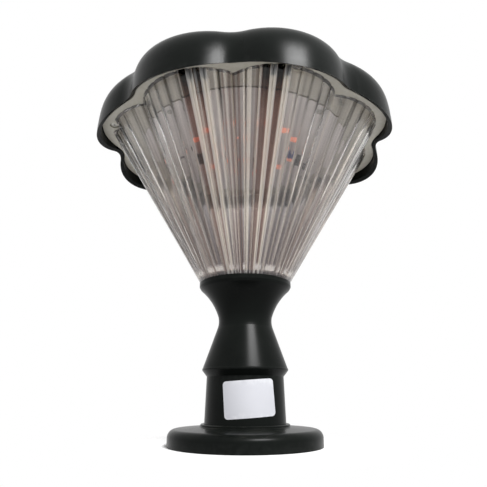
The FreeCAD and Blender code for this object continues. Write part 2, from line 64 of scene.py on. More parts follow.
# Petals of the cap, and the azimuth at the middle of one of them.
PETALS = 8
PETAL_AZIMUTH = math.radians(18.2)

# Shift of the cone's wide bands, in half flutes.
BAND_START = 6.5

# Painted reflections and painted glints of the cone: how many steps a flute is cut into, and the
# seed of their random tones.
GREY_STREAKS = (6.0, 71.0)
DEEP_STREAKS = (4.0, 91.0)
BROWN_STREAKS = (5.0, 11.0)
CREAM_STREAKS = (6.0, 37.0)
STRAY_STREAKS = (6.0, 53.0)
PAINTED_GLINTS = (2.0, 19.0)

# Tones of the narrow painted reflections, the painted shade in the grooves, the painted
# reflection of the cap's rim with the painted shade below it, the painted glints and the painted
# shade of the foot.
GREY_TONE = (0.20, 0.18, 0.18)
DEEP_TONE = (0.11, 0.105, 0.12)
GROOVE_SHADE_TONE = (0.06, 0.05, 0.035)
RIM_REFLECTION_AND_SHADE_TONE = (0.010, 0.011, 0.009)
PAINTED_GLINT_TONE = (1.0, 0.99, 1.0)
FOOT_RING_SHADE_TONE = (0.10, 0.10, 0.11)


# ---------------------------------------------------------------- node wiring helpers
def new_material(name):
    """An empty material with its output; returns the material, its tree and the output."""
    material = bpy.data.materials.new(name)
    material.use_nodes = True
    tree = material.node_tree
    tree.nodes.clear()
    output = tree.nodes.new("ShaderNodeOutputMaterial")
    return material, tree, output


def principled(tree, output, **values):
    """A Principled shader wired to the output, with constants set on its own sockets."""
    shader = tree.nodes.new("ShaderNodeBsdfPrincipled")
    for socket, value in values.items():
        shader.inputs[socket.replace("_", " ")].default_value = value
    tree.links.new(shader.outputs[0], output.inputs["Surface"])
    return shader


def link(tree, source, target):
    """Links an output to an input."""
    tree.links.new(source, target)


def feed(tree, value, socket):
    """Links an output to a socket, or sets the socket to a number or a colour."""
    if isinstance(value, bpy.types.NodeSocket):
        link(tree, value, socket)
    elif isinstance(value, (int, float)):
        socket.default_value = value
    else:
        socket.default_value = (*value[:3], 1.0)


def math_node(tree, operation, *operands, clamp=False):
    """The result of one sum or comparison on numbers or outputs."""
    node = tree.nodes.new("ShaderNodeMath")
    node.operation = operation
    node.use_clamp = clamp
    for value, socket in zip(operands, node.inputs):
        feed(tree, value, socket)
    return node.outputs[0]


def times(tree, *masks):
    """The product of masks and plain shares."""
    product = masks[0]
    for mask in masks[1:]:
        product = math_node(tree, "MULTIPLY", product, mask)
    return product


def mix_colour(tree, factor, first, second):
    """The first colour where the factor is 0 and the second where it is 1."""
    node = tree.nodes.new("ShaderNodeMix")
    node.data_type = "RGBA"
    sockets = (node.inputs[0], node.inputs[6], node.inputs[7])
    for value, socket in zip((factor, first, second), sockets):
        feed(tree, value, socket)
    return node.outputs[2]


def ramp(tree, source, low, high, out_low=0.0, out_high=1.0, kind="LINEAR"):
    """Carries the span from low to high over to the span from out_low to out_high."""
    node = tree.nodes.new("ShaderNodeMapRange")
    node.interpolation_type = kind
    for value, socket in zip((source, low, high, out_low, out_high), node.inputs):
        feed(tree, value, socket)
    return node.outputs[0]


def noise(tree, vector, scale, detail=3.0, roughness=0.5):
    """Cloudy noise from 0 to 1."""
    node = tree.nodes.new("ShaderNodeTexNoise")
    node.inputs["Detail"].default_value = detail
    node.inputs["Roughness"].default_value = roughness
    feed(tree, scale, node.inputs["Scale"])
    link(tree, vector, node.inputs["Vector"])
    return node.outputs[0]


def random_step(tree, value):
    """A random share from 0 to 1 for each whole number."""
    node = tree.nodes.new("ShaderNodeTexWhiteNoise")
    node.noise_dimensions = "1D"
    link(tree, value, node.inputs["W"])
    return node.outputs["Value"]


def object_place(tree):
    """The point's place in the object's own frame, which is the light's frame."""
    return tree.nodes.new("ShaderNodeTexCoord").outputs["Object"]


def split_xyz(tree, vector):
    """The outputs X, Y and Z of a vector."""
    node = tree.nodes.new("ShaderNodeSeparateXYZ")
    link(tree, vector, node.inputs[0])
    return node.outputs


def new_group(name, inputs, outputs):
    """A shader group with named float or colour sockets; returns tree, entry and exit."""
    tree = bpy.data.node_groups.new(name, "ShaderNodeTree")
    for label, kind, value in inputs:
        socket = tree.interface.new_socket(label, in_out="INPUT", socket_type=kind)
        socket.default_value = value
    for label, kind in outputs:
        tree.interface.new_socket(label, in_out="OUTPUT", socket_type=kind)
    return tree, tree.nodes.new("NodeGroupInput"), tree.nodes.new("NodeGroupOutput")


def place_group(tree, name, **values):
    """A shared effect in a material, with this material's own values."""
    node = tree.nodes.new("ShaderNodeGroup")
    node.node_tree = bpy.data.node_groups[name]
    for label, value in values.items():
        node.inputs[label.replace("_", " ")].default_value = value
    return node


def bump(tree, height, shader, strength, distance):
    """Fine relief from a mask of heights, on the shader's normal."""
    node = tree.nodes.new("ShaderNodeBump")
    node.inputs["Strength"].default_value = strength
    node.inputs["Distance"].default_value = distance
    link(tree, height, node.inputs["Height"])
    link(tree, node.outputs[0], shader.inputs["Normal"])


# ---------------------------------------------------------------- shared surface effects
def build_moulded_grain():
    """Fine grain of a moulded surface, with slow changes of shine and tone."""
    tree, entry, exit_ = new_group(
        "Moulded grain",
        [("Grain Scale", "NodeSocketFloat", 1800.0), ("Cloud Scale", "NodeSocketFloat", 22.0),
         ("Roughness Low", "NodeSocketFloat", 0.3), ("Roughness High", "NodeSocketFloat", 0.45)],
        [("Tone", "NodeSocketFloat"), ("Roughness", "NodeSocketFloat"),
         ("Height", "NodeSocketFloat")])
    grain_share = 0.35
    place = object_place(tree)
    grain = noise(tree, place, entry.outputs["Grain Scale"], 2.0)
    cloud = noise(tree, place, entry.outputs["Cloud Scale"], 4.0, 0.6)
    mixed = math_node(tree, "MULTIPLY_ADD", grain, grain_share,
                      times(tree, cloud, 1.0 - grain_share))
    span = math_node(tree, "SUBTRACT", entry.outputs["Roughness High"],
                     entry.outputs["Roughness Low"])
    rough = math_node(tree, "MULTIPLY_ADD", mixed, span, entry.outputs["Roughness Low"])
    link(tree, cloud, exit_.inputs["Tone"])
    link(tree, rough, exit_.inputs["Roughness"])
    link(tree, grain, exit_.inputs["Height"])


def build_settled_dust():
    """Mask of dust on upward faces and rub marks on sharp edges."""
    tree, entry, exit_ = new_group(
        "Settled dust",
        [("Dust", "NodeSocketFloat", 0.3), ("Rub", "NodeSocketFloat", 0.3)],
        [("Dust Mask", "NodeSocketFloat"), ("Rub Mask", "NodeSocketFloat")])
    geometry = tree.nodes.new("ShaderNodeNewGeometry")
    place = object_place(tree)
    upward = ramp(tree, split_xyz(tree, geometry.outputs["Normal"])["Z"], 0.2, 1.0)
    patches = ramp(tree, noise(tree, place, 60.0, 6.0, 0.7), 0.42, 0.68)
    edge = ramp(tree, geometry.outputs["Pointiness"], 0.52, 0.60)
    flecks = ramp(tree, noise(tree, place, 240.0, 3.0), 0.4, 0.6)
    dust = times(tree, upward, patches, entry.outputs["Dust"])
    rub = times(tree, edge, flecks, entry.outputs["Rub"])
    link(tree, dust, exit_.inputs["Dust Mask"])
    link(tree, rub, exit_.inputs["Rub Mask"])


def build_painted_flute_light():
    """Painted reflections and shade on the cone: a tone for each flute, painted shade in the
    grooves and towards the foot, and painted glints.
    """
    tree, entry, exit_ = new_group(
        "Painted flute light and shade",
        [("Flutes", "NodeSocketFloat", 72.0), ("Foot Height", "NodeSocketFloat", 0.127),
         ("Top Height", "NodeSocketFloat", 0.259), ("Clear", "NodeSocketColor", (1, 1, 1, 1)),
         ("Smoke", "NodeSocketColor", (1, 1, 1, 1)), ("Brown", "NodeSocketColor", (1, 1, 1, 1)),
         ("Cream", "NodeSocketColor", (1, 1, 1, 1))],
        [("Color", "NodeSocketColor"), ("Haze", "NodeSocketFloat")])
    place = split_xyz(tree, object_place(tree))
    angle = math_node(tree, "ARCTAN2", place["X"], place["Y"])
    turn = math_node(tree, "MULTIPLY_ADD", angle, 0.5 / math.pi, 0.5)
    flute = times(tree, turn, entry.outputs["Flutes"])

    def pick(steps_per_flute, seed):
        """A random share for each of the equal steps that every flute is cut into."""
        index = math_node(tree, "FLOOR", times(tree, flute, steps_per_flute))
        return random_step(tree, math_node(tree, "ADD", index, seed))

    # The rise is 0 at the cone's foot and 1 at its top, and the painted shade at the foot clears
    # on the way up.
    rise = ramp(tree, place["Z"], entry.outputs["Foot Height"], entry.outputs["Top Height"])
    colour = mix_colour(tree, ramp(tree, rise, 0.25, 0.85), entry.outputs["Smoke"],
                        entry.outputs["Clear"])

    # Two groups of four wide bands of painted reflection, pale and brown in turn, stand in each
    # third of the turn.
    half_flutes = math_node(tree, "MULTIPLY_ADD", flute, 2.0, BAND_START)
    band = math_node(tree, "FLOOR", half_flutes)
    in_group = math_node(tree, "LESS_THAN", math_node(tree, "MODULO", band, 12.0), 3.5)
    in_pair = math_node(tree, "LESS_THAN", math_node(tree, "MODULO", band, 48.0), 15.5)
    wide = times(tree, in_group, in_pair)
    between = math_node(tree, "SUBTRACT", in_pair, wide)
    odd = math_node(tree, "MODULO", band, 2.0)
    even = math_node(tree, "SUBTRACT", 1.0, odd)

    # Narrow painted reflections: grey ones and a few cream ones all round, deep ones low down,
    # and brown and cream ones between the two groups of a pair.
    grey = times(tree, ramp(tree, pick(*GREY_STREAKS), 0.5, 0.95), 0.34)
    colour = mix_colour(tree, grey, colour, GREY_TONE)
    deep = times(tree, ramp(tree, pick(*DEEP_STREAKS), 0.62, 0.80),
                 ramp(tree, rise, 0.75, 0.35), 0.6)
    colour = mix_colour(tree, deep, colour, DEEP_TONE)
    narrow_brown = times(tree, ramp(tree, pick(*BROWN_STREAKS), 0.52, 0.60), between, 0.5)
    wide_brown = times(tree, wide, odd, ramp(tree, rise, 0.0, 0.9, 0.35, 0.95))
    brown = math_node(tree, "ADD", narrow_brown, wide_brown)
    narrow_cream = times(tree, ramp(tree, pick(*CREAM_STREAKS), 0.70, 0.74), between, 0.8)
    stray_cream = times(tree, ramp(tree, pick(*STRAY_STREAKS), 0.90, 0.93), 0.6)
    cream = math_node(tree, "MAXIMUM", math_node(tree, "MAXIMUM", narrow_cream, stray_cream),
                      times(tree, wide, even))
    colour = mix_colour(tree, brown, colour, entry.outputs["Brown"])
    colour = mix_colour(tree, cream, colour, entry.outputs["Cream"])

    # Grooves get painted shade at the top and a painted highlight below, each with its own
    # strength.
    groove = math_node(tree, "PINGPONG", flute, 0.5)
    own = random_step(tree, math_node(tree, "ROUND", flute))
    not_cream = math_node(tree, "SUBTRACT", 1.0, cream)
    groove_shade = times(tree, ramp(tree, groove, 0.05, 0.15, 0.92, 0.0),
                      ramp(tree, rise, 0.62, 0.90), ramp(tree, own, 0.0, 1.0, 0.35, 1.0),
                      not_cream)
    groove_highlight = times(tree, ramp(tree, groove, 0.05, 0.12, 1.0, 0.0),
                      ramp(tree, rise, 0.80, 0.60), ramp(tree, own, 0.0, 1.0, 0.9, 0.2))
    colour = mix_colour(tree, groove_shade, colour, GROOVE_SHADE_TONE)
    colour = mix_colour(tree, groove_highlight, colour, entry.outputs["Cream"])

    # A painted reflection of the cap's black rim sits in the tops of the wide bands, and painted
    # shade darkens the brown ones there.
    across = math_node(tree, "COMPARE", math_node(tree, "FRACT", half_flutes), 0.5, 0.36)
    black = times(tree, wide, across, ramp(tree, rise, 0.945, 0.955))
    shade = times(tree, wide, odd, ramp(tree, rise, 0.80, 0.95), 0.85)
    colour = mix_colour(tree, math_node(tree, "MAXIMUM", black, shade), colour, RIM_REFLECTION_AND_SHADE_TONE)

    # Painted glints sit on the feet of the flutes, over a plain ring darkened with painted
    # shade.
    painted_glint = times(tree, ramp(tree, pick(*PAINTED_GLINTS), 0.30, 0.45),
                  ramp(tree, rise, 0.020, 0.026), ramp(tree, rise, 0.060, 0.040))
    foot_ring = times(tree, ramp(tree, rise, 0.020, 0.016), 0.8)
    colour = mix_colour(tree, painted_glint, colour, PAINTED_GLINT_TONE)
    colour = mix_colour(tree, foot_ring, colour, FOOT_RING_SHADE_TONE)
    link(tree, colour, exit_.inputs["Color"])
    haze = math_node(tree, "MAXIMUM", math_node(tree, "MAXIMUM", cream, painted_glint),
                     times(tree, groove_highlight, 0.6))
    link(tree, haze, exit_.inputs["Haze"])


# ---------------------------------------------------------------- materials
def plastic(name, colour, rough=(0.3, 0.45), grain=1800.0, depth=0.04 * MM, strength=0.25,
            spread=0.25, dust=0.0, rub=0.0, **values):
    """Moulded or coated surface with grain, slow tone changes, dust and rubbed edges."""
    dust_colour = (0.30, 0.29, 0.26)
    material, tree, output = new_material(name)
    shader = principled(tree, output, **values)
    surface = place_group(tree, "Moulded grain", Grain_Scale=grain,
                          Roughness_Low=rough[0], Roughness_High=rough[1])
    dark = [c * (1.0 - spread) for c in colour]
    light = [min(c * (1.0 + spread), 1.0) for c in colour]
    rubbed = [min(c * 2.2 + 0.02, 1.0) for c in colour]
    tone = ramp(tree, surface.outputs["Tone"], 0.3, 0.7)
    base = mix_colour(tree, tone, dark, light)
    if dust or rub:
        wear = place_group(tree, "Settled dust", Dust=dust, Rub=rub)
        base = mix_colour(tree, wear.outputs["Dust Mask"], base, dust_colour)
        base = mix_colour(tree, wear.outputs["Rub Mask"], base, rubbed)
    link(tree, base, shader.inputs["Base Color"])
    link(tree, surface.outputs["Roughness"], shader.inputs["Roughness"])
    bump(tree, surface.outputs["Height"], shader, strength, depth)
    return material


def metal(name, colour, rough=(0.25, 0.45)):
    """Plated metal with a coarse grain and rubbed edges."""
    return plastic(name, colour, rough, grain=500.0, depth=0.02 * MM, spread=0.12,
                   rub=0.3, Metallic=1.0)


def far_rim_haze(tree, top):
    """Extra roughness of the inner wall near its top, as seen from inside the cone."""
    haze_start = top - 26.0 * MM
    haze_full = top - 13.0 * MM
    most = 0.65
    geometry = tree.nodes.new("ShaderNodeNewGeometry")
    place = object_place(tree)
    level = tree.nodes.new("ShaderNodeVectorMath")
    level.operation = "MULTIPLY"
    level.inputs[1].default_value = (1.0, 1.0, 0.0)
    link(tree, place, level.inputs[0])
    outward = tree.nodes.new("ShaderNodeVectorMath")
    outward.operation = "DOT_PRODUCT"
    link(tree, level.outputs[0], outward.inputs[0])
    link(tree, geometry.outputs["Normal"], outward.inputs[1])
    inner = math_node(tree, "LESS_THAN", outward.outputs["Value"], 0.0)
    front = math_node(tree, "SUBTRACT", 1.0, geometry.outputs["Backfacing"])
    near_top = ramp(tree, split_xyz(tree, place)["Z"], haze_start, haze_full, 0.0, most)
    return times(tree, inner, front, near_top)


def fluted_plastic(sizes, colours, foot, top):
    """Clear plastic: painted reflections and shade flute by flute, and hazy in the pale streaks
    and the far rim.
    """
    streak_haze = 0.22
    material, tree, output = new_material("Clear fluted plastic")
    shader = principled(tree, output, IOR=1.35, Metallic=0.0, Transmission_Weight=0.92,
                        Coat_IOR=2.6, Coat_Roughness=0.35,
                        Coat_Tint=(1.0, 0.97, 0.92, 1.0))
    painted_flute_light = place_group(tree, "Painted flute light and shade", Flutes=float(sizes.flute_count), Foot_Height=foot,
                       Top_Height=top, Clear=(*colours.clear_tint, 1.0),
                       Smoke=(*colours.painted_foot_shade, 1.0), Brown=(*colours.painted_brown_reflection, 1.0),
                       Cream=(*colours.painted_cream_reflection, 1.0))
    surface = place_group(tree, "Moulded grain", Grain_Scale=300.0, Cloud_Scale=30.0,
                          Roughness_Low=0.02, Roughness_High=0.07)
    rough = math_node(tree, "MULTIPLY_ADD", painted_flute_light.outputs["Haze"], streak_haze,
                      surface.outputs["Roughness"])
    rough = math_node(tree, "ADD", rough, far_rim_haze(tree, top), clamp=True)
    link(tree, painted_flute_light.outputs["Color"], shader.inputs["Base Color"])
    link(tree, painted_flute_light.outputs["Haze"], shader.inputs["Coat Weight"])
    link(tree, rough, shader.inputs["Roughness"])
    bump(tree, surface.outputs["Height"], shader, 0.05, 0.05 * MM)
    return material


def resin_cover_material():
    """Clear resin over the solar cells."""
    cool = (0.90, 0.94, 0.97)
    clear = (0.97, 0.98, 1.0)
    material, tree, output = new_material("Panel resin")
    shader = principled(tree, output, IOR=1.48, Metallic=0.0, Transmission_Weight=1.0)
    surface = place_group(tree, "Moulded grain", Grain_Scale=120.0, Cloud_Scale=14.0,
                          Roughness_Low=0.03, Roughness_High=0.12)
    tone = ramp(tree, surface.outputs["Tone"], 0.3, 0.7)
    link(tree, mix_colour(tree, tone, cool, clear), shader.inputs["Base Color"])
    link(tree, surface.outputs["Roughness"], shader.inputs["Roughness"])
    bump(tree, surface.outputs["Height"], shader, 0.08, 0.2 * MM)
    return material


def silicon_material():
    """Dark blue crystalline cells with fine silver fingers."""
    dark_crystal = (0.006, 0.010, 0.035)
    pale_crystal = (0.020, 0.035, 0.10)
    silver = (0.55, 0.57, 0.60)
    half_spacing = 1.0 * MM
    finger_fade = 0.12 * MM
    material, tree, output = new_material("Silicon cells")
    shader = principled(tree, output, Metallic=0.1)
    place = object_place(tree)
    crystals = tree.nodes.new("ShaderNodeTexVoronoi")
    crystals.inputs["Scale"].default_value = 160.0
    link(tree, place, crystals.inputs["Vector"])
    grey = tree.nodes.new("ShaderNodeRGBToBW")
    link(tree, crystals.outputs["Color"], grey.inputs[0])
    base = mix_colour(tree, grey.outputs[0], dark_crystal, pale_crystal)
    finger = math_node(tree, "PINGPONG", split_xyz(tree, place)["Y"], half_spacing)
    line = ramp(tree, finger, 0.0, finger_fade, 1.0, 0.0)
    base = mix_colour(tree, times(tree, line, 0.6), base, silver)
    link(tree, base, shader.inputs["Base Color"])
    link(tree, ramp(tree, grey.outputs[0], 0.0, 1.0, 0.22, 0.40), shader.inputs["Roughness"])
    return material


def board_material(name, mask_colour, print_colour):
    """Solder mask with fine tracks and pads showing through, and a bare brown edge."""
    material, tree, output = new_material(name)
    bare_edge = (0.13, 0.10, 0.05)
    shader = principled(tree, output)
    tracks = tree.nodes.new("ShaderNodeTexBrick")
    tracks.inputs["Scale"].default_value = 60.0
    tracks.inputs["Mortar Size"].default_value = 0.02
    link(tree, object_place(tree), tracks.inputs["Vector"])
    surface = place_group(tree, "Moulded grain", Grain_Scale=600.0, Cloud_Scale=40.0,
                          Roughness_Low=0.28, Roughness_High=0.42)
    tone = ramp(tree, surface.outputs["Tone"], 0.3, 0.7)
    base = mix_colour(tree, tone, [c * 0.94 for c in mask_colour], mask_colour)
    base = mix_colour(tree, times(tree, tracks.outputs["Fac"], 0.35), base, print_colour)
    normal = tree.nodes.new("ShaderNodeNewGeometry").outputs["Normal"]
    upright = math_node(tree, "ABSOLUTE", split_xyz(tree, normal)["Z"])
    base = mix_colour(tree, ramp(tree, upright, 0.5, 0.6, 1.0, 0.0), base, bare_edge)
    link(tree, base, shader.inputs["Base Color"])
    link(tree, surface.outputs["Roughness"], shader.inputs["Roughness"])
    bump(tree, tracks.outputs["Fac"], shader, 0.15, 0.03 * MM)
    return material


def build_shared_groups():
    """The effects that the materials share, made before any material."""
    build_moulded_grain()
    build_settled_dust()
    build_painted_flute_light()


def dress(material, *names):
    """Puts one material on CAD nodes that keep their own meshes."""
    for name in names:
        piece = nodes[name]
        piece.data.materials.clear()
        piece.data.materials.append(material)


# ---------------------------------------------------------------- mesh helpers
def add_piece(name, mesh, body, slot, material, *replaced):
    """A new piece on its body, in place of the CAD nodes that it replaces."""
    piece = bpy.data.objects.new(name, mesh)
    bpy.context.scene.collection.objects.link(piece)
    mesh.materials.append(material)
    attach(piece, body)
    if replaced:
        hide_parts(*replaced)


def around(radius, azimuth, height):
    """A point at an azimuth in radians, 0 at the front and growing towards +X."""
    return Vector((radius * math.sin(azimuth), -radius * math.cos(azimuth), height))


def azimuth_of(spot):
    """The azimuth at which a point stands."""
    return math.atan2(spot.x, -spot.y)


def wall(build, first, second):
    """Faces between two loops with as many points."""
    for i in range(len(first)):
        k = (i + 1) % len(first)
        build.faces.new((first[i], first[k], second[k], second[i]))


def closed_rings(name, rings, angle):
    """A solid of rings with as many points, where the last ring joins the first."""
    build = bmesh.new()
    rows = [[build.verts.new(point) for point in ring] for ring in rings]
    for row, following in zip(rows, rows[1:] + rows[:1]):
        wall(build, row, following)
    return finished(name, build, angle)


def lathe(build, centre, profile, count=20):
    """Turned surface about a vertical axis through a list of radii and heights."""
    loops = [[build.verts.new((centre.x + radius * math.cos(math.tau * i / count),
                               centre.y + radius * math.sin(math.tau * i / count), height))
              for i in range(count)] for radius, height in profile]
    for first, second in zip(loops, loops[1:]):
        wall(build, first, second)
    return loops


def turned_solid(build, centre, profile, count):
    """Turned solid, closed at both ends."""
    loops = lathe(build, centre, profile, count)
    build.faces.new(loops[0])
    build.faces.new(loops[-1])


def soft_block(build, centre, size, edge=0.25 * MM):
    """Box with rounded edges."""
    corners = bmesh.ops.create_cube(build, size=1.0)["verts"]
    bmesh.ops.scale(build, vec=size, verts=corners)
    bmesh.ops.translate(build, vec=centre, verts=corners)
    edges = list({side for corner in corners for side in corner.link_edges})
    bmesh.ops.bevel(build, geom=edges, offset=edge, segments=2, affect="EDGES", profile=0.5)


def finished(name, build, angle=35.0):
    """Closes the mesh work: normals outwards, smooth but for the sharp edges."""
    mesh = bpy.data.meshes.new(name)
    bmesh.ops.recalc_face_normals(build, faces=build.faces)
    for face in build.faces:
        face.smooth = True
    build.to_mesh(mesh)
    build.free()
    mesh.set_sharp_from_angle(angle=math.radians(angle))
    return mesh


def loose_parts(name):
    """The corner points of each separate solid in a node."""
    build = bmesh.new()
    build.from_mesh(nodes[name].data)
    bmesh.ops.remove_doubles(build, verts=build.verts, dist=0.001 * MM)
    waiting = set(build.verts)
    parts = []
    for start in build.verts:
        if start not in waiting:
            continue
        waiting.remove(start)
        to_follow = [start]
        found = []
        while to_follow:
            corner = to_follow.pop()
            found.append(corner.co.copy())
            for edge in corner.link_edges:
                other = edge.other_vert(corner)
                if other in waiting:
                    waiting.remove(other)
                    to_follow.append(other)
        parts.append(found)
    build.free()
    return parts


def middle(points):
    """The mean of some points."""
    return sum(points, Vector()) / len(points)


def centres(name):
    """Middle of each separate solid in a node, from left to right."""
    spots = [middle(points) for points in loose_parts(name)]
    return sorted(spots, key=lambda spot: (round(spot.x, 5), spot.y))


def add_screw(build, points):
    """Pan-head screw with a cross recess and a thread, on the place of a plain one."""
    root_share = 0.82
    tip_share = 0.5
    recess_depth = 0.6
    recess_taper = 0.8
    centre = middle(points)
    heights = sorted({round(point.z, 7) for point in points})

    def reach(height):
        """Radius of the plain screw at one of its heights."""
        return max((p.xy - centre.xy).length for p in points if abs(p.z - height) < 1e-6)

    # From the face of the head to the tip, whichever way the screw points.
    if reach(heights[0]) < reach(heights[-1]):
        heights.reverse()
    head, seat, tip = heights[0], heights[1], heights[-1]
    head_r = reach(head)
    shank_r = reach(tip)
    rise = head - seat

    # The head's outline, in shares of its radius and of its height, and then the thread.
    pan = [(0.72, 1.0), (0.88, 0.90), (0.97, 0.68), (1.0, 0.40), (1.0, 0.0)]
    profile = [(head_r * r, seat + rise * h) for r, h in pan]
    pitch = max(0.8 * shank_r, 0.7 * MM)
    turns = int(abs(tip - seat) / pitch)
    profile.append((shank_r * root_share, seat))
    for k in range(1, 2 * turns):
        radius = shank_r * (1.0 if k % 2 else root_share)
        profile.append((radius, seat + (tip - seat) * k / (2 * turns)))
    profile.append((shank_r * tip_share, tip))
    loops = lathe(build, centre, profile)
    build.faces.new(loops[-1])

    # Four arms of the recess: two corners at the end of each and one between two arms.
    arm = 0.50 * head_r
    half = 0.12 * head_r
    cross = []
    for quarter in range(4):
        turn = math.pi / 2.0 * quarter
        for x, y in ((half, half), (arm, half), (arm, -half)):
            angle = math.atan2(y, x) - turn
            size = math.hypot(x, y)
            cross.append((size * math.cos(angle), size * math.sin(angle)))

    def cross_loop(scale, height):
        return [build.verts.new((centre.x + x * scale, centre.y + y * scale, height))
                for x, y in cross]

    mouth = cross_loop(1.0, head)
    floor = cross_loop(recess_taper, head - rise * recess_depth)
    wall(build, mouth, floor)
    build.faces.new(floor)

    # The flat of the head lies between its rim and the lip of the recess.
    rim =[build.edges.get((a, b)) for a, b in zip(loops[0], loops[0][1:] + loops[0][:1])]
    lip = [build.edges.get((a, b)) for a, b in zip(mouth, mouth[1:] + mouth[:1])]
    bmesh.ops.triangle_fill(build, use_beauty=True, edges=rim + lip)


def screws(name, material):
    """Detailed screws that stand for every plain screw of a node."""
    build = bmesh.new()
    for points in loose_parts(name):
        add_screw(build, points)
    mesh = finished(name + "_detailed", build)
    add_piece(name + "_detailed", mesh, LAMP_BODY, "zinc_steel", material, name)


# ---------------------------------------------------------------- settings
class PillarLightSizes(bpy.types.PropertyGroup):
    flute_count: IntProperty(
        name="Flutes", description="Number of flutes round the cone", default=72)
    flute_depth: FloatProperty(
        name="Flute depth", description="Depth of the grooves between flutes at the top",
        default=1.1 * MM, unit="LENGTH")
    cone_wall: FloatProperty(
        name="Cone wall", description="Wall of the cone under its flutes",
        default=2.6 * MM, unit="LENGTH")
    cone_foot: FloatProperty(
        name="Cone foot", description="Radius of the cone where it meets the collar",
        default=38.0 * MM, unit="LENGTH")
    foot_ring: FloatProperty(
        name="Foot ring", description="Height of the plain ring under the flutes",
        default=2.6 * MM, unit="LENGTH")
    rim_petal: FloatProperty(
        name="Rim at petals", description="Radius of the cone's top edge under a petal",
        default=120.4 * MM, unit="LENGTH")
    rim_valley: FloatProperty(
        name="Rim at valleys",
        description="Radius that the cone's top edge turns in towards between petals",
        default=105.6 * MM, unit="LENGTH")
    spigot: FloatProperty(
        name="Spigot", description="Radius of the cone's round foot inside the collar",
        default=35.6 * MM, unit="LENGTH")


class PillarLightColours(bpy.types.PropertyGroup):
    shell: FloatVectorProperty(
        name="Shell", description="Black of the moulded shells", subtype="COLOR",
        default=(0.0040, 0.0050, 0.0044))
    tray: FloatVectorProperty(
        name="Tray", description="Warm grey of the plate under the cap", subtype="COLOR",
        default=(0.58, 0.55, 0.47))
    clear_tint: FloatVectorProperty(
        name="Clear", description="Tint of the cone near its top", subtype="COLOR",
        default=(0.965, 0.95, 0.94))
    # Painted shade: the cone's colour darkens towards its foot.
    painted_foot_shade: FloatVectorProperty(
        name="Smoke", description="Tint of the cone near its foot", subtype="COLOR",
        default=(0.47, 0.43, 0.425))
    # Painted reflections: the red-brown streaks in the cone's colour.
    painted_brown_reflection: FloatVectorProperty(
        name="Brown", description="Tint of the red-brown streaks", subtype="COLOR",
        default=(0.26, 0.12, 0.085))
    # Painted reflections and painted highlights: the pale streaks and the pale lines in the
    # grooves.
    painted_cream_reflection: FloatVectorProperty(
        name="Cream", description="Tint of the pale streaks", subtype="COLOR",
        default=(0.97, 0.93, 0.85))


class PillarLightStage(bpy.types.PropertyGroup):
    key_power: FloatProperty(
        name="Key light", description="Power of the soft front light in watts",
        default=25.0, unit="POWER")
    world_level: FloatProperty(
        name="Surround", description="Brightness of the surround on matt surfaces",
        default=0.55)


# ---------------------------------------------------------------- operators
class PILLARLIGHT_OT_shells(bpy.types.Operator):
    """Satin black foot, neck and petal cap"""
    bl_idname = "pillarlight.shells"
    bl_label = "Black shells"

    def execute(self, context):
        colours = context.scene.pillar_light_colours
        black = plastic("Satin black shell", tuple(colours.shell), (0.25, 0.31), grain=2600.0,
                        depth=0.03 * MM, strength=0.3, dust=0.025, rub=0.15,
                        Specular_IOR_Level=0.06)
        dress(black, "base_moulding", "neck_moulding", "cap_shell")
        return {"FINISHED"}


